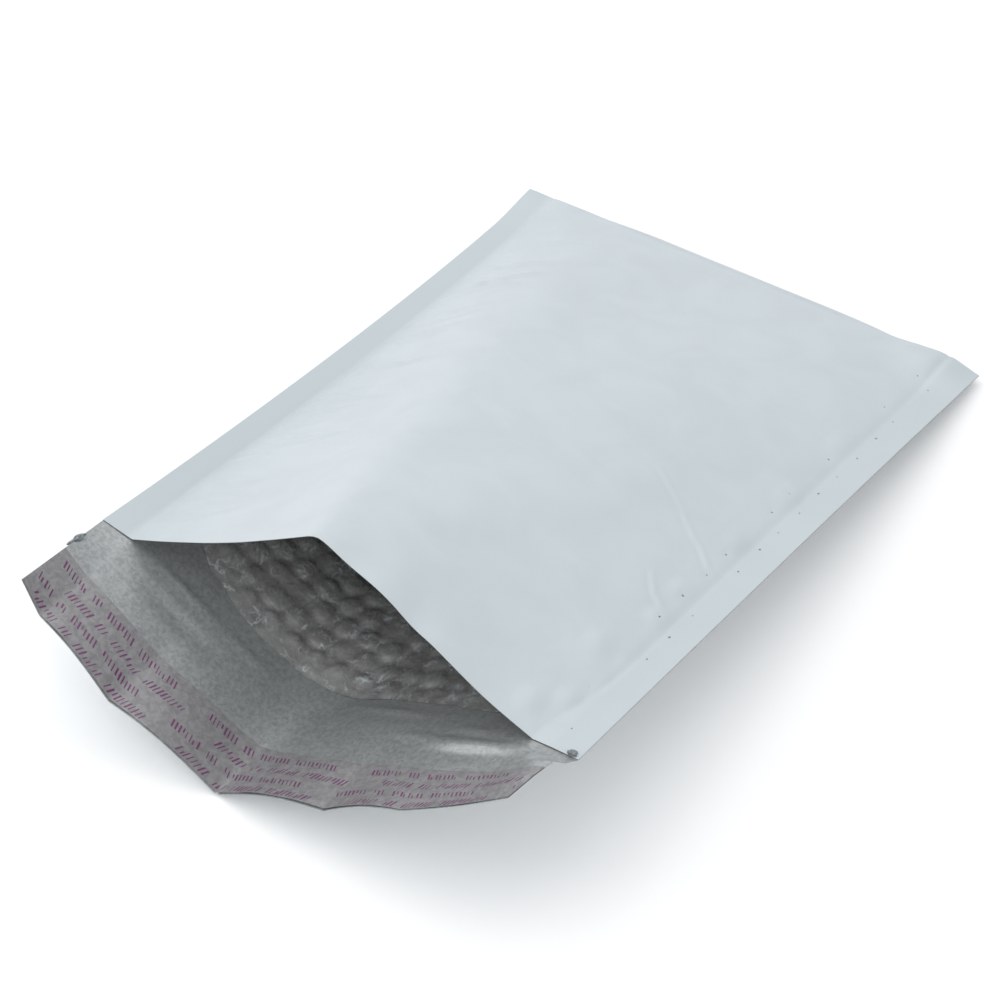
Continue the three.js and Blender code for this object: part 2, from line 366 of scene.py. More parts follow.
@dataclass
class PouchForm:
    """Where every layer of the envelope's wall lies.

    A place on a panel is given as it was on the flat web: "across" is the distance from the left side
    edge, and "along" runs from 0 at the closed end to 1 at the lip. An "inset" is a depth into the wall.
    """

    low: Array
    high: Array
    left: SideWeld
    right: SideWeld
    flap_edge: tuple[FlapKink, ...]
    relief: FrontRelief
    lip_bumps: tuple[Bump, ...]
    back_bumps: tuple[Bump, ...]
    flap_bumps: tuple[Bump, ...]
    mouth_left: tuple[float, float, float] = (-99.0, -141.4, 40.7)
    mouth_right: tuple[float, float, float] = (99.6, -140.9, 44.1)
    peak: tuple[float, float, float] = (-6.9, -134.4, 79.6)
    valley: tuple[float, float, float] = (-11.7, -144.1, 0.0)
    peak_across: float = 101.0
    valley_across: float = 96.0
    length: float = 288.0
    closed_thickness: float = 8.4
    weld_skin: float = 0.25
    roof_blend: float = 3.0
    roof_blend_deep: float = 12.0
    floor_blend: float = 1.5
    flap_length: float = 47.0
    arch_power: float = 1.6
    flap_root: float = 3.0
    thinnest_half: float = 0.05
    right_lift: Swell = Swell(18.0, 23.0, 5.2)
    left_lift: Swell = Swell(17.0, 27.0, 2.6)
    left_tip_lift: Swell = Swell(0.0, 12.0, 1.4)
    lift_share: float = 0.10
    margin: float = 11.0
    margin_fade: float = 13.0
    curl_width: float = 22.0
    curl_fade: float = 20.0
    curl_profile: tuple[tuple[float, float], ...] = (
        (0.0, 0.0), (9.0, 2.0), (17.0, 6.0), (30.0, 4.0), (47.0, 0.0))

    @property
    def width(self) -> float:
        """The pocket's width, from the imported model's box."""
        return float(self.high[0] - self.low[0])

    @property
    def closed_y(self) -> float:
        """Where the closed end stands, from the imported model's box."""
        return float(self.high[1])

    def corner_lift(self, across: Array, along: Array) -> Array:
        """Returns how far the closed end's two corners stand off the floor."""
        from_right = self.width - across
        lift = self.right_lift.over(from_right) + self.left_lift.over(across)
        lift += self.left_tip_lift.over(across)
        return lift * smooth(1.0 - along / self.lift_share)

    def front_height(self, across: Array, along: Array) -> Array:
        """Returns the height of the front panel's outer face."""
        middle = lerp(self.closed_thickness, self.peak[2], along)
        from_right = self.width - across
        left = self.left.facet(across, along, self.weld_skin, self.peak_across, middle, self.left.front_sag)
        right = self.right.facet(
            from_right, along, self.weld_skin, self.width - self.peak_across, middle, self.right.front_sag)
        blend = lerp(self.roof_blend_deep, self.roof_blend, np.clip(along, 0.0, 1.0) ** 2)
        roof = soft_min(soft_min(left, right, blend), middle, blend)
        from_lip = (1.0 - along) * self.length
        for bump in self.lip_bumps:
            roof = roof + bump.over(across, from_lip)
        return roof + self.relief.over(across, from_lip) + self.corner_lift(across, along)

    def back_height(self, across: Array, along: Array) -> Array:
        """Returns the height of the back panel's outer face."""
        zero = np.zeros_like(across)
        from_right = self.width - across
        left = self.left.facet(across, along, -self.weld_skin, self.left.back_crease_at_lip, zero, 0.0)
        right = self.right.facet(from_right, along, -self.weld_skin, self.right.back_crease_at_lip, zero, 0.0)
        floor = soft_max(soft_max(left, right, self.floor_blend), zero, self.floor_blend)
        from_lip = (1.0 - along) * self.length
        for bump in self.back_bumps:
            floor = floor + bump.over(across, from_lip)
        on_margins = 1.0 - smooth((np.minimum(across, from_right) - self.margin) / self.margin_fade)
        return floor + self.corner_lift(across, along) * on_margins

    def plan(self, across: Array, along: Array, crease: Sequence[float], crease_across: float
             ) -> tuple[Array, Array]:
        """Gives where a place on a panel stands in plan.

        Args:
            across: Distance from the left side edge.
            along: Share of the way to the lip.
            crease: The lip's point at its crease.
            crease_across: Distance across of that crease.

        Returns:
            x and y of each place.
        """
        left_share = across / crease_across
        right_share = (across - crease_across) / (self.width - crease_across)
        lips = []
        for axis in (0, 1):
            left = lerp(self.mouth_left[axis], crease[axis], left_share)
            right = lerp(crease[axis], self.mouth_right[axis], right_share)
            lips.append(np.where(across < crease_across, left, right))
        x = lerp(across - self.width / 2.0, lips[0], along)
        y = lerp(self.closed_y, lips[1], along)
        return x, y

    def layer(self, across: Array, along: Array, inset: Array) -> tuple[Array, Array, Array]:
        """Gives the lower and upper points of one layer of the wall.

        Args:
            across: Distance from the left side edge.
            along: Share of the way to the lip.
            inset: Depth of the layer, 0 being the outer skin.

        Returns:
            The lower points, the upper points, and half the height between them.
        """
        bottom = self.back_height(across, along)
        top = np.maximum(self.front_height(across, along), bottom + 2.0 * self.weld_skin)
        middle = (bottom + top) / 2.0
        half = np.maximum((top - bottom) / 2.0 - inset, self.thinnest_half + 0.0 * middle)
        below = self.plan(across, along, self.valley, self.valley_across)
        above = self.plan(across, along, self.peak, self.peak_across)
        lower = np.stack([below[0], below[1], middle - half], axis=-1)
        upper = np.stack([above[0], above[1], middle + half], axis=-1)
        return lower, upper, half

    def fold(self, across: Array, inset: Array, angle: float, upper: bool) -> Array:
        """Gives a row of the rounded closed end.

        Args:
            across: Distance from the left side edge.
            inset: Depth of the layer.
            angle: 0 where the fold leaves the panel, and a right angle at its outermost line.
            upper: Whether the row belongs to the front panel's half.

        Returns:
            The row's points.
        """
        below, above, half = self.layer(across, np.zeros_like(across), inset)
        row = (above if upper else below).copy()
        turn = half * (1.0 - math.cos(angle))
        row[..., 1] = self.closed_y - inset - half * (1.0 - math.sin(angle))
        row[..., 2] += -turn if upper else turn
        return row

    def flap_tip(self, across: Array, arched: bool = True) -> Array:
        """Gives the points of the flap's cut edge, which runs from kink to kink.

        Args:
            across: Distance from the left side edge.
            arched: Whether each run arches a little, as the film does, or is straight.

        Returns:
            The points.
        """
        stations = np.array([kink.across for kink in self.flap_edge])
        places = np.array([kink.at for kink in self.flap_edge])
        points = np.stack([np.interp(across, stations, places[:, axis]) for axis in range(3)], axis=-1)
        for start, end in zip(self.flap_edge, self.flap_edge[1:] if arched else ()):
            share = np.clip((across - start.across) / (end.across - start.across), 0.0, 1.0)
            points[..., 2] += start.arch * np.sin(math.pi * share)
        return points

    def flap(self, across: Array, from_lip: Array, height: Array) -> Array:
        """Gives points on or over the flap.

        Args:
            across: Distance from the left side edge.
            from_lip: Distance out from the back panel's lip.
            height: Height over the film's underside.

        Returns:
            The points.
        """
        root, _, _ = self.layer(across, np.ones_like(across), 0.0 * across)
        tip = self.flap_tip(across)
        share = from_lip / self.flap_length
        points = lerp(root, tip, share[..., None])
        arches = tip[..., 2] - self.flap_tip(across, arched=False)[..., 2]
        points[..., 2] += arches * (share ** self.arch_power - share) + height
        points[..., 2] += self.side_curl(across, from_lip)
        for bump in self.flap_bumps:
            points[..., 2] += bump.over(across, from_lip) * smooth(from_lip / self.flap_root)
        return points

    def side_curl(self, across: Array, from_lip: Array) -> Array:
        """Returns how far the flap's right side edge has buckled up, most of it near the lip."""
        places, heights = zip(*self.curl_profile)
        share = (across - (self.width - self.curl_width)) / self.curl_fade
        return np.interp(from_lip, places, heights) * smooth(share)


# ---------------------------------------------------------------- meshes


def object_from(name: str, points: Array, faces: Sequence[Sequence[int]], material_of: Array,
                materials: Sequence[bpy.types.Material], sharp: float = 50.0,
                fused: Optional[Array] = None) -> bpy.types.Object:
    """Makes a mesh object out of points in millimetres.

    Args:
        name: The object's name.
        points: One row for each point.
        faces: The point numbers of each face.
        material_of: The material's number for each face.
        materials: The materials.
        sharp: The angle, in degrees, from which an edge between faces shows as sharp.
        fused: How far each point's film is fused to another, from 0 to 1, for the finish to read.

    Returns:
        The object, linked to the scene.
    """
    mesh = bpy.data.meshes.new(name)
    mesh.from_pydata((points * METRES).tolist(), [], [list(face) for face in faces])
    for material in materials:
        mesh.materials.append(material)
    mesh.polygons.foreach_set("material_index", material_of.astype(np.int32))
    mesh.polygons.foreach_set("use_smooth", np.ones(len(faces), dtype=bool))
    mesh.set_sharp_from_angle(angle=math.radians(sharp))
    if fused is not None:
        mesh.attributes.new(FUSED, "FLOAT", "POINT").data.foreach_set("value", fused.astype(np.float32))
    mesh.update()
    made = bpy.data.objects.new(name, mesh)
    bpy.context.scene.collection.objects.link(made)
    LOG.info("%s: %d points, %d faces", name, len(points), len(faces))
    return made


def closed_sheet(outer: Array, inner: Array) -> tuple[Array, Array, Array]:
    """Closes two matching grids of points into one thin solid.

    Args:
        outer: Rows and columns of points on the outer face.
        inner: The points behind them.

    Returns:
        The points, the faces as four point numbers each, and each face's part: 0 outer, 1 inner, 2 rim.
    """
    rows, columns = outer.shape[:2]
    number = np.arange(rows * columns).reshape(rows, columns)
    a, b, c, d = number[:-1, :-1], number[1:, :-1], number[1:, 1:], number[:-1, 1:]
    front = np.stack([a, b, c, d], axis=-1).reshape(-1, 4)
    back = np.stack([a, d, c, b], axis=-1).reshape(-1, 4) + rows * columns
    loop = np.concatenate([
        number[:-1, 0], number[-1, :-1], number[:0:-1, -1], number[0, :0:-1],
    ])
    after = np.roll(loop, -1)
    rim = np.stack([after, loop, loop + rows * columns, after + rows * columns], axis=-1)
    points = np.concatenate([outer.reshape(-1, 3), inner.reshape(-1, 3)])
    faces = np.concatenate([front, back, rim])
    part = np.repeat([0, 1, 2], [len(front), len(back), len(rim)])
    corner = points[faces]
    volume = np.einsum("ij,ij->", corner[:, 0], np.cross(corner[:, 1], corner[:, 2]))
    volume += np.einsum("ij,ij->", corner[:, 0], np.cross(corner[:, 2], corner[:, 3]))
    if volume < 0.0:
        faces = faces[:, ::-1]
    return points, faces, part


def steps(start: float, end: float, pitch: float) -> Array:
    """Returns evenly spaced places from start to end, about a pitch apart."""
    return np.linspace(start, end, max(int(round(abs(end - start) / pitch)), 1) + 1)


def joined(*runs: Array) -> Array:
    """Returns runs of places as one, where each run starts at the end of the one before."""
    return np.concatenate([runs[0], *(run[1:] for run in runs[1:])])


def tablet_faces(first: int, sides: int) -> list[Sequence[int]]:
    """Gives the faces of a flat tablet, whose upper ring of points follows its lower one.

    Args:
        first: The number of the lower ring's first point.
        sides: How many points a ring has.

    Returns:
        The upper face, the lower face, and the sides.
    """
    lower = [first + i for i in range(sides)]
    upper = [point + sides for point in lower]
    return [upper, lower[::-1], *zip(lower, lower[1:] + lower[:1], upper[1:] + upper[:1], upper)]


def declare(piece: bpy.types.Object, slot: Slot, *nodes: Node) -> None:
    """Rides a piece on the envelope, and hides the nodes that it stands for."""
    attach(piece, BODY)
    if nodes:
        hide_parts(*(node.value for node in nodes))


# ---------------------------------------------------------------- finishes


class NodeBench:
    """Adds shader nodes to a material and joins them up."""

    def __init__(self, name: str) -> None:
        """Starts a material with one Principled shader.

        Args:
            name: The material's name.
        """
        self.material = bpy.data.materials.new(name)
        self.material.use_nodes = True
        self.tree = self.material.node_tree
        self.shader = self.tree.nodes["Principled BSDF"]
        self.place = self.add("ShaderNodeTexCoord").outputs["Object"]

    def add(self, kind: str, **settings: object) -> bpy.types.Node:
        """Returns a new node with the given settings."""
        node = self.tree.nodes.new(kind)
        for name, value in settings.items():
            setattr(node, name, value)
        return node

    def link(self, source: bpy.types.NodeSocket, target: bpy.types.NodeSocket) -> None:
        """Joins an output to an input."""
        self.tree.links.new(source, target)

    def noise(self, scale: float, detail: float = 2.0, distortion: float = 0.0) -> bpy.types.NodeSocket:
        """Gives noise over the object.

        Args:
            scale: Patches to the metre.
            detail: Octaves.
            distortion: How far the patches are pulled about.

        Returns:
            The noise's output, from 0 to 1.
        """
        node = self.add("ShaderNodeTexNoise")
        node.inputs["Scale"].default_value = scale
        node.inputs["Detail"].default_value = detail
        node.inputs["Distortion"].default_value = distortion
        self.link(self.place, node.inputs["Vector"])
        return node.outputs["Fac"]

    def ramp(self, source: bpy.types.NodeSocket, stops: Sequence[tuple[float, Sequence[float]]]
             ) -> bpy.types.NodeSocket:
        """Gives colours along a ramp.

        Args:
            source: A number from 0 to 1.
            stops: Positions and colours.

        Returns:
            The ramp's colour output.
        """
        node = self.add("ShaderNodeValToRGB")
        elements = node.color_ramp.elements
        while len(elements) < len(stops):
            elements.new(0.5)
        for element, (position, colour) in zip(elements, stops):
            element.position = position
            element.color = (*colour, 1.0)
        self.link(source, node.inputs["Fac"])
        return node.outputs["Color"]

    def spread(self, source: bpy.types.NodeSocket, low: float, high: float) -> bpy.types.NodeSocket:
        """Returns a number from 0 to 1 spread out between low and high."""
        node = self.add("ShaderNodeMapRange")
        node.inputs["To Min"].default_value = low
        node.inputs["To Max"].default_value = high
        self.link(source, node.inputs["Value"])
        return node.outputs["Result"]

    def mixed(self, share: bpy.types.NodeSocket, colour: bpy.types.NodeSocket, other: Sequence[float]
              ) -> bpy.types.NodeSocket:
        """Gives a mix of two colours.

        Args:
            share: How much of the other colour there is, from 0 to 1.
            colour: The first colour.
            other: The other colour.

        Returns:
            The mixed colour's output.
        """
        mix = self.add("ShaderNodeMix", data_type="RGBA")
        self.link(share, mix.inputs["Factor"])
        self.link(colour, mix.inputs[6])
        mix.inputs[7].default_value = (*other, 1.0)
        return mix.outputs[2]

    def painted_glint_lines(self, scale: float) -> bpy.types.NodeSocket:
        """Gives thin curved lines in scattered patches, for painted glints: highlights of crinkled film
        painted into the colour.

        Args:
            scale: Lines to the metre.

        Returns:
            An output that is 1 on the lines and 0 off them.
        """
        wander = self.noise(scale, detail=1.0, distortion=0.9)
        lines = self.ramp(wander, ((0.464, BLACK), (0.5, WHITE), (0.536, BLACK)))
        patches = self.ramp(self.noise(0.7 * scale), ((0.44, BLACK), (0.58, WHITE)))
        both = self.add("ShaderNodeMath", operation="MULTIPLY")
        self.link(lines, both.inputs[0])
        self.link(patches, both.inputs[1])
        return both.outputs["Value"]

    def bump(self, source: bpy.types.NodeSocket, strength: float, distance: float) -> None:
        """Adds a bump under any that is there already.

        Args:
            source: The bump's height, from 0 to 1.
            strength: How much of it shows.
            distance: Its depth in metres.
        """
        node = self.add("ShaderNodeBump")
        node.inputs["Strength"].default_value = strength
        node.inputs["Distance"].default_value = distance
        self.link(source, node.inputs["Height"])
        held = self.shader.inputs["Normal"]
        if held.is_linked:
            self.link(held.links[0].from_socket, node.inputs["Normal"])
        self.link(node.outputs["Normal"], held)

    def set(self, **values: object) -> None:
        """Sets the shader's own sockets, with underscores for the spaces in their names."""
        for name, value in values.items():
            self.shader.inputs[name.replace("_", " ")].default_value = value


@dataclass(frozen=True)
class FilmFinish:
    """Blown plastic film: a soft sheen, faint mottling, fine drawn texture, and where asked, painted glints:
    light lines mixed into the colour as highlights.
    """

    name: str
    light: tuple[float, float, float]
    dark: tuple[float, float, float]
    roughness: tuple[float, float]
    metallic: float = 0.0
    coat: float = 0.0
    coat_roughness: float = 0.2
    mottle: float = 45.0
    grain: float = 1400.0
    grain_depth: float = 0.00004
    wave: float = 160.0
    wave_depth: float = 0.0003
    wave_strength: float = 0.25
    fused: Optional[tuple[float, float, float]] = None
    # Colour and lines to the metre of painted glints: light lines that stand in for highlights on crinkled
    # film.
    painted_glints: Optional[tuple[float, float, float]] = None
    painted_glint_scale: float = 180.0

    def material(self) -> bpy.types.Material:
        """Returns the finish as a material."""
        bench = NodeBench(self.name)
        patches = bench.noise(self.mottle, detail=4.0, distortion=0.6)
        colour = bench.ramp(patches, ((0.35, self.dark), (0.65, self.light)))
        if self.fused is not None:
            mark = bench.add("ShaderNodeAttribute", attribute_name=FUSED)
            colour = bench.mixed(mark.outputs["Fac"], colour, self.fused)
        if self.painted_glints is not None:
            # Painted glints: thin light lines mixed into the base colour, standing in for highlights on
            # crinkled film.
            colour = bench.mixed(bench.painted_glint_lines(self.painted_glint_scale), colour, self.painted_glints)
        bench.link(colour, bench.shader.inputs["Base Color"])
        rough = bench.spread(bench.noise(self.wave, 3.0), *self.roughness)
        bench.link(rough, bench.shader.inputs["Roughness"])
        bench.bump(bench.noise(self.wave, 3.0, 0.4), self.wave_strength, self.wave_depth)
        bench.bump(bench.noise(self.grain, 2.0), 0.5, self.grain_depth)
        bench.set(Metallic=self.metallic, IOR=1.5, Coat_Weight=self.coat, Coat_Roughness=self.coat_roughness)
        return bench.material


@dataclass(frozen=True)
class FloorFinish:
    """A plain, pale, matt floor."""

    colour: tuple[float, float, float] = (0.93, 0.93, 0.93)

    def material(self) -> bpy.types.Material:
        """Returns the finish as a material."""
        bench = NodeBench("pale_floor")
        faint = tuple(0.99 * part for part in self.colour)
        colour = bench.ramp(bench.noise(3.0), ((0.4, faint), (0.6, self.colour)))
        bench.link(colour, bench.shader.inputs["Base Color"])
        bench.set(Roughness=0.95, Specular_IOR_Level=0.1)
        return bench.material


WHITE_OUTSIDE = FilmFinish(
    "white_outside", light=(0.494, 0.543, 0.569), dark=(0.472, 0.519, 0.545), roughness=(0.34, 0.46),
    coat=0.15, coat_roughness=0.35, fused=(0.450, 0.501, 0.525))
SILVER_INSIDE = FilmFinish(
    "silver_inside", light=(0.380, 0.395, 0.398), dark=(0.275, 0.289, 0.292), roughness=(0.29, 0.43),
    metallic=0.32, mottle=650.0, wave_strength=0.4)
# The bubble film's pale streak colour is a painted glint: highlights of its crinkles painted into the colour.
BUBBLE_FILM = FilmFinish(
    "bubble_film", light=(0.50, 0.51, 0.50), dark=(0.35, 0.35, 0.34), roughness=(0.20, 0.34),
    metallic=0.4, coat=1.0, coat_roughness=0.05, mottle=160.0, wave=380.0, wave_depth=0.0005,
    wave_strength=0.5, painted_glints=(0.86, 0.91, 0.94))
HOT_MELT = FilmFinish(
    "hot_melt", light=(0.62, 0.60, 0.55), dark=(0.55, 0.53, 0.48), roughness=(0.35, 0.55), wave=300.0,
    wave_strength=0.6)
LINER_FILM = FilmFinish(
    "liner_film", light=(0.275, 0.270, 0.279), dark=(0.200, 0.198, 0.204), roughness=(0.28, 0.42),
    metallic=0.1, mottle=500.0, wave=220.0, wave_strength=0.5)
PLUM_INK = FilmFinish(
    "plum_ink", light=(0.17, 0.05, 0.14), dark=(0.12, 0.035, 0.10), roughness=(0.45, 0.6),
    mottle=900.0)
SCORCHED_FILM = FilmFinish(
    "scorched_film", light=(0.26, 0.29, 0.30), dark=(0.08, 0.09, 0.10), roughness=(0.3, 0.5),
    mottle=500.0)


# ---------------------------------------------------------------- sub-assemblies


@dataclass
class FilmWeb:
    """The outer film: one web from the flap's cut edge, under the pocket and back over it to the lip."""

    form: PouchForm
    thickness: float = 0.2
    fold_start: float = 6.0
    fold_steps: int = 7
    edge_pitch: float = 1.15
    edge_band: float = 24.0
    middle_pitch: float = 2.2
    front_pitch: float = 2.0
    fine_pitch: float = 1.05
    creased_across: float = 150.0
    creased_from_lip: tuple[float, float] = (58.0, 138.0)
    back_pitch: float = 5.0
    fused_blend: float = 1.8
    right_fusing: float = 0.55
    near_band: float = 26.0
    flap_pitch: float = 1.3

    def columns(self) -> Array:
        """Returns the distances across of the columns, closest at the side edges and over the creases."""
        width = self.form.width
        return joined(
            steps(0.0, self.edge_band, self.edge_pitch),
            steps(self.edge_band, self.creased_across, self.middle_pitch),
            steps(self.creased_across, width - self.edge_band, self.fine_pitch),
            steps(width - self.edge_band, width, self.edge_pitch),
        )

    def face(self, inset: float) -> Array:
        """Gives one face of the film.

        Args:
            inset: Depth into the wall.

        Returns:
            Rows and columns of points, from the flap's cut edge to the front lip.
        """
        form = self.form
        across = self.columns()
        depth = np.full_like(across, inset)
        rows = [form.flap(across, np.full_like(across, out), depth)
                for out in steps(form.flap_length, 0.0, self.flap_pitch)[:-1]]
        last = self.fold_start / form.length
        near = 1.0 - self.near_band / form.length
        for along in joined(steps(1.0, near, self.flap_pitch / form.length),
                            steps(near, last, self.back_pitch / form.length)):
            rows.append(form.layer(across, np.full_like(across, along), depth)[0])
        angles = np.linspace(0.0, math.pi / 2.0, self.fold_steps)
        rows += [form.fold(across, depth, angle, upper=False) for angle in angles]
        rows += [form.fold(across, depth, angle, upper=True) for angle in angles[-2::-1]]
        near, far = (1.0 - away / form.length for away in self.creased_from_lip)
        for along in joined(steps(last, far, self.front_pitch / form.length),
                            steps(far, near, self.fine_pitch / form.length),
                            steps(near, 1.0, self.front_pitch / form.length)):
            rows.append(form.layer(across, np.full_like(across, along), depth)[1])
        return np.stack(rows)

    def fused(self, grid: Array) -> Array:
        """Returns how far the film is fused at each point of a face: 1 in the side margins and 0 inside."""
        across = self.columns()
        from_left = across - self.form.left.width
        from_right = self.form.width - across - self.form.right.width
        left, right = (1.0 - smooth((away + self.fused_blend / 3.0) / self.fused_blend)
                       for away in (from_left, from_right))
        return np.tile(np.maximum(left, self.right_fusing * right), len(grid))

    def build(self) -> bpy.types.Object:
        """Returns the finished piece."""
        outer, inner = self.face(0.0), self.face(self.thickness)
        points, faces, part = closed_sheet(outer, inner)
        finishes = (WHITE_OUTSIDE.material(), SILVER_INSIDE.material())
        fused = np.concatenate([self.fused(outer), self.fused(inner)])
        piece = object_from("film_web", points, faces, np.where(part == 0, 0, 1), finishes, fused=fused)
        declare(piece, Slot.WHITE_FILM, Node.FRONT_FILM, Node.BACK_FILM)
        return piece


@dataclass
class BubbleLining:
    """The bubble lining: one web inside the film, with its bubbles towards the pocket."""

    form: PouchForm
    base_depth: float = 0.55
    web: float = 0.35
    dome_height: float = 1.35
    dome_radius: float = 4.9
    pitch: float = 10.8
    left_inset: float = 11.5
    right_inset: float = 13.5
    near_pitch: float = 1.2
    far_pitch: float = 3.0
    near_band: float = 75.0
    crushed_band: float = 3.0
    crushed_fade: float = 8.0
    dome_stray: float = 1.2
    dome_tilt: float = 0.3
    dome_squareness: float = 4.5
    smallest_dome: float = 0.82
    flattened_share: float = 0.3
    plumpness: tuple[float, float] = (0.3, 0.6)
    plump_spread: float = 0.4
    edge_wander: float = 0.7
    edge_taper: float = 3.0
    crinkles: tuple[tuple[int, float, float], ...] = ((11, 4.3, 0.30), (12, 9.0, 0.34))
    fold_start: float = 7.0
    fold_steps: int = 5
    seed: int = 3
    edge_stations: tuple[tuple[float, float], ...] = (
        (12.0, 26.0), (30.0, 21.5), (38.0, 16.5), (55.0, 12.5), (67.0, 11.0), (105.0, 11.5), (124.0, 14.0),
        (204.0, 15.0))

    def columns(self) -> Array:
        """Returns the distances across of the mesh's columns."""
        return steps(self.left_inset, self.form.width - self.right_inset, self.near_pitch)

    def setback(self, across: Array) -> Array:
        """Returns how far the lining's cut edge lies inside the lip, which wanders a little."""
        places, depths = zip(*self.edge_stations)
        wander = self.edge_wander * value_noise(across, 0.0 * across, 9.0, self.seed)
        return np.interp(across, places, depths) + wander

    def dome(self, across: Array, from_lip: Array, edge: Array) -> Array:
        """Gives the height of the bubbles.

        Args:
            across: Distance from the left side edge.
            from_lip: Distance in from the lip.
            edge: Where the cut edge lies, as a distance in from the lip.

        Returns:
            Heights over the lining's flat web.
        """
        row_pitch = self.pitch * math.sqrt(3.0) / 2.0
        row = np.round(from_lip / row_pitch)
        shift = np.where(row.astype(int) % 2 == 0, 0.0, self.pitch / 2.0)
        column = np.round((across - shift) / self.pitch)
        centre_x, centre_y = column * self.pitch + shift, row * row_pitch
        chance = np.sin(column * SCATTER[0] + row * SCATTER[1] + self.seed) * SCATTER[2]
        chance = chance - np.floor(chance)
        lean = chance - 0.5
        side = across - centre_x - self.dome_stray * lean
        ahead = from_lip - centre_y + self.dome_stray * lean
        radial = np.hypot(side, ahead) / (self.dome_radius * lerp(self.smallest_dome, 1.0, chance))
        plump = np.where(chance < self.flattened_share, *self.plumpness) + self.plump_spread * chance
        tilt = self.dome_tilt * (side - ahead) * lean / self.dome_radius
        cap = 1.0 - np.clip(radial, 0.0, 1.0) ** self.dome_squareness
        crushed = smooth((from_lip - edge - self.crushed_band) / self.crushed_fade)
        return self.dome_height * cap * (plump + tilt) * crushed

    def crinkle(self, across: Array, from_lip: Array) -> Array:
        """Returns the fine creasing of the lining's film."""
        total = 0.0 * across
        for seed, size, height in self.crinkles:
            total = total + height * (1.0 - np.abs(value_noise(across, from_lip, size, seed))) ** 4
        return total

    def face(self, domed: bool) -> Array:
        """Gives one face of the lining.

        Args:
            domed: Whether this is the inner face, with the bubbles.

        Returns:
            Rows and columns of points, from the back's cut edge to the front's.
        """
        form = self.form
        across = self.columns()
        edge = self.setback(across)
        span = form.length - self.fold_start
        outs = joined(
            steps(0.0, self.near_band, self.near_pitch), steps(self.near_band, span, self.far_pitch))

        def depth(from_lip: Array) -> Array:
            """Returns the depth of the face into the wall."""
            if not domed:
                return np.full_like(across, self.base_depth)
            lift = self.dome(across, from_lip, edge) + self.crinkle(across, from_lip)
            full = smooth((from_lip - edge) / self.edge_taper)
            return self.base_depth + self.web * lerp(0.25, 1.0, full) + lift * full

        sheets = []
        for upper in (False, True):
            made = []
            for out in outs:
                from_lip = lerp(edge, span, out / span)
                along = 1.0 - from_lip / form.length
                made.append(form.layer(across, along, depth(from_lip))[1 if upper else 0])
            sheets.append(made)
        fold_depth = np.full_like(across, self.base_depth + (self.web if domed else 0.0))
        angles = np.linspace(0.15, math.pi / 2.0, self.fold_steps)
        lower = [form.fold(across, fold_depth, angle, upper=False) for angle in angles]
        upper = [form.fold(across, fold_depth, angle, upper=True) for angle in angles[-2::-1]]
        return np.stack([*sheets[0], *lower, *upper, *sheets[1][::-1]])

    def build(self) -> bpy.types.Object:
        """Returns the finished piece."""
        points, faces, part = closed_sheet(self.face(domed=False), self.face(domed=True))
        finishes = (BUBBLE_FILM.material(),)
        piece = object_from("bubble_lining", points, faces, 0 * part, finishes, sharp=60.0)
        declare(piece, Slot.BUBBLE_FILM, Node.FRONT_LINING, Node.BACK_LINING)
        return piece


@dataclass(frozen=True)
class PrintRow:
    """A row of short bars across the liner, in groups, with a gap between the groups."""

    from_lip: float
    start: float
    lean: float


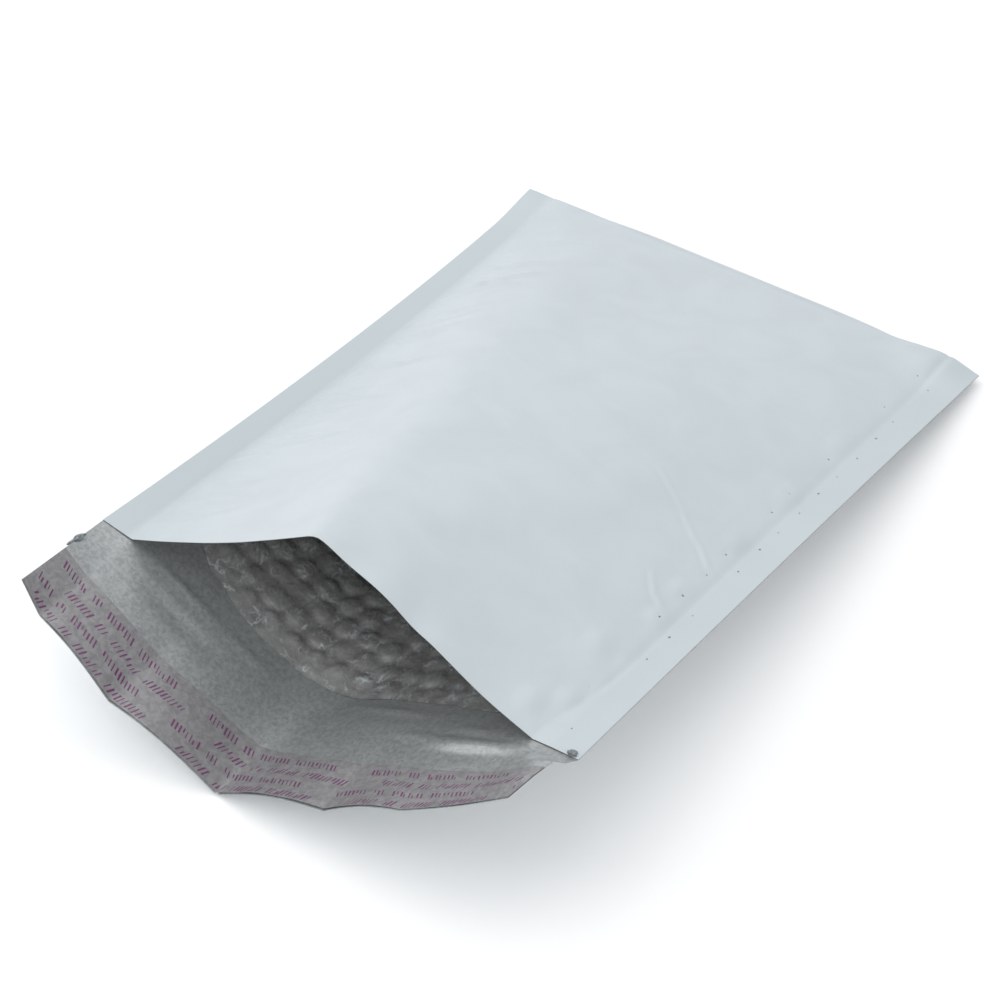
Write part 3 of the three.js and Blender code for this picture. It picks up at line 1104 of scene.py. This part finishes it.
@dataclass
class FlapStrips:
    """The adhesive band on the flap, and the release liner that covers it."""

    form: PouchForm
    film: float = 0.2
    adhesive: float = 0.12
    liner: float = 0.12
    gap: float = 0.03
    liner_span: tuple[float, float] = (22.4, 46.4)
    adhesive_span: tuple[float, float] = (26.0, 43.0)
    adhesive_margin: float = 1.0
    adhesive_pitch: float = 1.8
    liner_margin: float = 0.3
    pitch: float = 1.3
    flat_half_width: float = 13.5
    ruck_size: float = 11.0
    ruck_height: tuple[float, float] = (0.05, 0.55)
    ink: float = 0.04
    bar_width: tuple[float, float] = (0.32, 0.78)
    bar_shares: tuple[float, ...] = (1.0, 1.0, 0.9, 0.6)
    bar_margins: tuple[float, float] = (0.6, 2.6)
    bar_sink: float = 0.02
    row_end: float = 2.0
    bar_height: float = 2.9
    groups: tuple[int, ...] = (8, 3, 8, 11)
    bar_pitch: float = 1.62
    group_gap: float = 2.8
    phrase_gap: float = 12.0
    print_rows: tuple[PrintRow, ...] = (
        PrintRow(25.4, 4.0, 0.35), PrintRow(31.2, 13.0, -0.35),
        PrintRow(37.0, -3.0, 0.35), PrintRow(42.8, 6.0, -0.35),
    )
    seed: int = 5

    def strip(self, across: Array, span: tuple[float, float], bottom: float, thickness: float
              ) -> tuple[Array, Array, Array]:
        """Gives a thin strip that lies on the flap.

        Args:
            across: The distances across of its columns.
            span: Its two edges, as distances out from the lip.
            bottom: Height of its underside over the film's.
            thickness: Its thickness.

        Returns:
            Points, faces and each face's part, as closed_sheet does.
        """
        faces = []
        for height in (bottom, bottom + thickness):
            rows = []
            for out in steps(*span, self.pitch):
                lift = self.ruck(across, out) if bottom > self.film + self.adhesive else 0.0
                lifted = np.full_like(across, height) + lift
                rows.append(self.form.flap(across, np.full_like(across, out), lifted))
            faces.append(np.stack(rows))
        return closed_sheet(faces[1], faces[0])

    def ruck(self, across: Array, out: float) -> Array:
        """Returns how far the liner stands off the adhesive: low rucks that run across its width."""
        edge = 1.0 - bell(out - sum(self.liner_span) / 2.0, self.flat_half_width)
        wave = np.abs(value_noise(across, 0.25 * out + 0.0 * across, self.ruck_size, self.seed))
        return (self.ruck_height[0] + self.ruck_height[1] * edge) * wave ** 2

    def bars(self) -> tuple[Array, Array]:
        """Gives the printed bars, as thin tablets on the liner.

        Returns:
            Points and faces.
        """
        chance = np.random.default_rng(self.seed)
        points, faces = [], []
        top = self.film + self.adhesive + self.liner + 2.0 * self.gap
        for row in self.print_rows:
            at = row.start
            while at < self.form.width - self.row_end:
                for count in self.groups:
                    for _ in range(count):
                        wide = chance.uniform(*self.bar_width)
                        tall = self.bar_height * chance.choice(self.bar_shares)
                        low = row.from_lip + chance.choice([0.0, self.bar_height - tall])
                        if self.bar_margins[0] < at < self.form.width - self.bar_margins[1]:
                            self.tablet(points, faces, (at, low), (wide, tall), row.lean, top)
                        at += self.bar_pitch
                    at += self.group_gap
                at += self.phrase_gap
        return np.concatenate(points), np.array(faces)

    def tablet(self, points: list[Array], faces: list[list[int]], place: tuple[float, float],
               size: tuple[float, float], lean: float, top: float) -> None:
        """Adds one bar.

        Args:
            points: The lists of points made so far.
            faces: The faces made so far.
            place: The bar's near corner: across, and out from the lip.
            size: Its width and its height.
            lean: How far it leans, as a share of its height.
            top: Height of the liner's upper face over the film's underside.
        """
        (at, low), (wide, tall) = place, size
        across = np.array([at, at + wide, at + wide + lean * tall, at + lean * tall])
        out = np.array([low, low, low + tall, low + tall])
        first = sum(len(part) for part in points)
        for height in (top - self.bar_sink, top + self.ink):
            lift = np.array([self.ruck(across[i:i + 1], out[i])[0] for i in range(len(across))])
            points.append(self.form.flap(across, out, height + lift))
        faces += tablet_faces(first, len(across))

    def build(self) -> list[bpy.types.Object]:
        """Returns the two finished pieces."""
        width = self.form.width
        inner = steps(self.adhesive_margin, width - self.adhesive_margin, self.adhesive_pitch)
        points, faces, part = self.strip(inner, self.adhesive_span, self.film + self.gap, self.adhesive)
        adhesive = object_from("adhesive_strip_band", points, faces, 0 * part, (HOT_MELT.material(),))
        declare(adhesive, Slot.HOT_MELT, Node.ADHESIVE_STRIP)

        whole = steps(self.liner_margin, width - self.liner_margin, self.pitch)
        bottom = self.film + self.adhesive + 2.0 * self.gap
        points, faces, part = self.strip(whole, self.liner_span, bottom, self.liner)
        bar_points, bar_faces = self.bars()
        all_points = np.concatenate([points, bar_points])
        all_faces = np.concatenate([faces, bar_faces + len(points)])
        index = np.concatenate([0 * part, np.ones(len(bar_faces), dtype=int)])
        finishes = (LINER_FILM.material(), PLUM_INK.material())
        liner = object_from("release_liner_strip", all_points, all_faces, index, finishes)
        declare(liner, Slot.LINER_STRIP, Node.RELEASE_LINER)
        return [adhesive, liner]


@dataclass(frozen=True)
class Scrap:
    """A crumpled, melted end of a side weld."""

    name: str
    across: float
    from_lip: float
    offset: tuple[float, float, float]
    half_sizes: tuple[float, float, float]
    heading: float
    seed: int
    crumple: float = 0.55
    lump_size: float = 1.1
    lump_stretch: float = 3.0

    def build(self, form: PouchForm, finish: bpy.types.Material) -> bpy.types.Object:
        """Makes the scrap where it lies.

        Args:
            form: The envelope's shape. A from_lip below 0 is on the front panel, and above 0 on the flap.
            finish: Its material.

        Returns:
            The finished piece.
        """
        ball = bmesh.new()
        bmesh.ops.create_icosphere(ball, subdivisions=3, radius=1.0)
        points = np.array([vertex.co for vertex in ball.verts])
        faces = np.array([[vertex.index for vertex in face.verts] for face in ball.faces])
        ball.free()
        x, y, z = points.T
        lumps = value_noise(x * self.lump_stretch + z, y * self.lump_stretch - z, self.lump_size, self.seed)
        points = points * (1.0 + self.crumple * lumps[:, None]) * np.array(self.half_sizes)
        turn = math.radians(self.heading)
        x, y, z = points.T
        turned = np.stack([x * math.cos(turn) - y * math.sin(turn),
                           x * math.sin(turn) + y * math.cos(turn), z], axis=-1)
        across, from_lip, zero = np.array([self.across]), np.array([self.from_lip]), np.zeros(1)
        if self.from_lip < 0.0:
            place = form.layer(across, 1.0 + from_lip / form.length, zero)[1][0]
        else:
            place = form.flap(across, from_lip, zero)[0]
        placed = turned + place + np.array(self.offset)
        piece = object_from(self.name, placed, faces, np.zeros(len(faces)), (finish,), sharp=70.0)
        declare(piece, Slot.WHITE_FILM)
        return piece


@dataclass
class WeldTrimmings:
    """What the welding left behind: crumpled scraps at the mouth's corners, and rows of needle marks."""

    form: PouchForm
    mark_radius: float = 0.36
    mark_sides: int = 8
    mark_sizes: tuple[float, ...] = (0.75, 1.0, 1.25)
    mark_heights: tuple[float, float] = (-0.1, 0.07)
    scraps: tuple[Scrap, ...] = (
        Scrap("left_weld_scrap", 0.0, 15.5, (-0.2, -0.3, 0.2), (3.2, 1.1, 0.7), 82.0, 21),
        Scrap("right_weld_scrap", 212.5, -1.0, (0.0, 0.0, 0.6), (1.4, 1.0, 0.7), 20.0, 22, 0.7),
    )

    def marks(self) -> bpy.types.Object:
        """Returns the needle marks: small dark discs sunk in the front panel's film."""
        points, faces = [], []
        spins = np.linspace(0.0, 2.0 * math.pi, self.mark_sides, endpoint=False)
        for number, (from_right, from_lip) in enumerate(self.form.relief.needle_marks()):
            radius = self.mark_radius * self.mark_sizes[number % len(self.mark_sizes)]
            across = self.form.width - from_right + radius * np.cos(spins)
            away = from_lip + radius * np.sin(spins)
            ring = self.form.layer(across, 1.0 - away / self.form.length, 0.0 * across)[1]
            points += [ring + (0.0, 0.0, height) for height in self.mark_heights]
            faces += tablet_faces(2 * self.mark_sides * number, self.mark_sides)
        finishes = (SCORCHED_FILM.material(),)
        piece = object_from(
            "needle_marks", np.concatenate(points), faces, np.zeros(len(faces)), finishes, sharp=30.0)
        declare(piece, Slot.WHITE_FILM)
        return piece

    def build(self) -> list[bpy.types.Object]:
        """Returns the finished pieces."""
        finish = SCORCHED_FILM.material()
        return [self.marks(), *(scrap.build(self.form, finish) for scrap in self.scraps)]


@dataclass
class Studio:
    """The floor, the soft lights and the camera."""

    target: tuple[float, float, float] = (-0.0123, -0.0203, 0.0)
    azimuth: float = 34.18
    elevation: float = 44.47
    distance: float = 0.8859
    lens: float = 83.9
    sensor: float = 36.0
    clip: tuple[float, float] = (0.01, 50.0)
    floor_size: float = 8.0
    floor_gap: float = 0.0003
    world: float = 0.82
    world_colour: tuple[float, float, float] = (0.97, 0.985, 1.0)

    def direction(self, azimuth: float, elevation: float) -> Vector:
        """Returns the unit vector from the target towards a heading and a height above the horizon."""
        turn, rise = math.radians(azimuth), math.radians(elevation)
        return Vector((math.sin(turn) * math.cos(rise), -math.cos(turn) * math.cos(rise), math.sin(rise)))

    def aimed(self, data: bpy.types.ID, azimuth: float, elevation: float, distance: float
              ) -> bpy.types.Object:
        """Makes an object that looks at the envelope.

        Args:
            data: Its camera or light.
            azimuth: Its heading, in degrees.
            elevation: Its height above the horizon, in degrees.
            distance: Its distance in metres.

        Returns:
            The object, linked to the scene.
        """
        holder = bpy.data.objects.new(data.name, data)
        back = self.direction(azimuth, elevation)
        holder.location = Vector(self.target) + back * distance
        holder.rotation_mode = "QUATERNION"
        holder.rotation_quaternion = (-back).to_track_quat("-Z", "Y")
        bpy.context.scene.collection.objects.link(holder)
        return holder

    def camera(self) -> None:
        """Makes the camera and gives it to the scene."""
        data = bpy.data.cameras.new("view_camera")
        data.lens = self.lens
        data.sensor_width = self.sensor
        data.clip_start, data.clip_end = self.clip
        bpy.context.scene.camera = self.aimed(data, self.azimuth, self.elevation, self.distance)

    def softbox(self, name: str, azimuth: float, elevation: float, distance: float,
                size: tuple[float, float], power: float) -> None:
        """Makes one rectangular soft light aimed at the envelope.

        Args:
            name: Its name.
            azimuth: Its heading, as the camera's.
            elevation: Its height above the horizon, in degrees.
            distance: Its distance in metres.
            size: Its width and height in metres.
            power: Its power in watts.
        """
        data = bpy.data.lights.new(name, "AREA")
        data.shape = "RECTANGLE"
        data.size, data.size_y = size
        data.energy = power
        self.aimed(data, azimuth, elevation, distance).visible_camera = False

    def floor(self) -> None:
        """Makes the floor, just under the envelope."""
        side = self.floor_size / 2.0
        mesh = bpy.data.meshes.new("studio_floor")
        corners = [(-side, -side, 0.0), (side, -side, 0.0), (side, side, 0.0), (-side, side, 0.0)]
        mesh.from_pydata(corners, [], [(0, 1, 2, 3)])
        mesh.materials.append(FloorFinish().material())
        floor = bpy.data.objects.new("studio_floor", mesh)
        floor.location.z = -self.floor_gap
        bpy.context.scene.collection.objects.link(floor)

    def build(self) -> None:
        """Makes the whole studio."""
        self.floor()
        self.camera()
        self.softbox("key_softbox", azimuth=-75.0, elevation=38.0, distance=1.6, size=(1.8, 1.8), power=11.5)
        self.softbox("back_softbox", azimuth=-150.0, elevation=62.0, distance=1.8, size=(1.8, 1.8), power=8.5)
        self.softbox("strip_light", azimuth=60.0, elevation=37.0, distance=1.2, size=(0.4, 0.04), power=1.8)
        world = bpy.data.worlds.new("pale_room")
        world.use_nodes = True
        shade = world.node_tree.nodes["Background"]
        shade.inputs["Color"].default_value = (*self.world_colour, 1.0)
        shade.inputs["Strength"].default_value = self.world
        bpy.context.scene.world = world
        bpy.context.scene.view_settings.view_transform = "Standard"


# ---------------------------------------------------------------- the whole envelope


def pouch_form() -> PouchForm:
    """Returns the envelope's shape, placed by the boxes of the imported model's two films."""
    boxes = [np.array(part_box(node.value)) / METRES for node in (Node.FRONT_FILM, Node.BACK_FILM)]
    low, high = np.min([box[0] for box in boxes], axis=0), np.max([box[1] for box in boxes], axis=0)
    left = SideWeld(
        width=10.0, width_at_lip=13.2, mouth_height=40.7, mouth_tip=4.0, rise_power=1.45,
        front_crease_at_lip=101.0, back_crease_at_lip=86.0, front_sag=2.7, shoulder=22.0)
    right = SideWeld(
        width=12.0, width_at_lip=19.0, mouth_height=44.1, mouth_tip=2.9, rise_power=0.9,
        front_crease_at_lip=115.0, back_crease_at_lip=110.0, front_sag=0.6, shoulder=18.0)
    kinks = (
        FlapKink(0.0, (-93.0, -187.3, 53.5), 0.0),
        FlapKink(12.0, (-85.3, -189.3, 42.0), 3.2),
        FlapKink(48.0, (-55.3, -192.6, 21.0), 3.2),
        FlapKink(96.0, (-11.7, -191.3, 0.0), 3.3),
        FlapKink(141.0, (30.0, -185.5, 15.0), 2.2),
        FlapKink(173.0, (58.0, -180.5, 30.0), -1.0),
        FlapKink(216.0, (92.4, -169.9, 50.0)),
    )
    lip_bumps = (
        Bump(across=129.0, from_lip=0.0, half_across=18.0, half_along=48.0, height=1.5),
        Bump(across=144.0, from_lip=0.0, half_across=10.0, half_along=24.0, height=-0.7),
        Bump(across=176.0, from_lip=0.0, half_across=30.0, half_along=60.0, height=-1.9),
    )
    bumps = (
        Bump(187.0, 12.0, 7.0, 9.0, 0.9),
        Bump(196.0, 22.0, 6.0, 8.0, 0.9),
        Bump(190.0, 48.0, 7.0, 10.0, 0.8),
        Bump(197.5, 74.5, 6.0, 8.0, 0.8),
        Bump(196.0, 92.0, 6.0, 8.0, 0.7),
        Bump(197.0, 128.0, 6.0, 11.0, 0.6),
        Bump(198.0, 165.0, 6.0, 12.0, 0.5),
        Bump(197.0, 205.0, 6.0, 12.0, 0.5),
    )
    creases = (
        Crease((157.0, 134.0), (178.0, 122.5), 1.5, 0.22),
        Crease((176.0, 122.5), (190.0, 113.0), 1.5, 0.30),
        Crease((188.0, 115.5), (198.0, 108.0), 1.6, 0.42),
        Crease((184.0, 90.0), (191.0, 81.5), 1.5, 0.32),
        Crease((189.0, 83.0), (196.0, 79.5), 1.7, 0.40),
    )
    back_bumps = (
        Bump(38.0, 2.5, 24.0, 2.6, 0.8),
        Bump(66.0, 2.0, 16.0, 2.6, 0.6),
        Bump(132.0, 8.0, 26.0, 3.4, 0.8),
        Bump(172.0, 3.0, 14.0, 3.0, 0.5),
    )
    flap_bumps = (
        Bump(176.0, 6.0, 30.0, 6.5, 2.0),
        Bump(203.0, 9.0, 7.0, 7.0, 1.2),
        Bump(150.0, 4.0, 12.0, 4.0, 0.6),
        Bump(44.0, 8.0, 30.0, 5.0, -0.7),
    )
    relief = FrontRelief(width=216.0, length=PouchForm.length, bumps=bumps, creases=creases)
    return PouchForm(low, high, left, right, kinks, relief, lip_bumps, back_bumps, flap_bumps)


def main() -> None:
    """Builds the studio and every piece in order."""
    logging.basicConfig(level=logging.INFO, format="%(name)s: %(message)s")
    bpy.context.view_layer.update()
    Studio().build()
    form = pouch_form()
    film, lining = FilmWeb(form).build(), BubbleLining(form).build()
    for piece in (film, lining, *FlapStrips(form).build(), *WeldTrimmings(form).build()):
        LOG.info("built %s", piece.name)


if __name__ == "__main__":
    main()
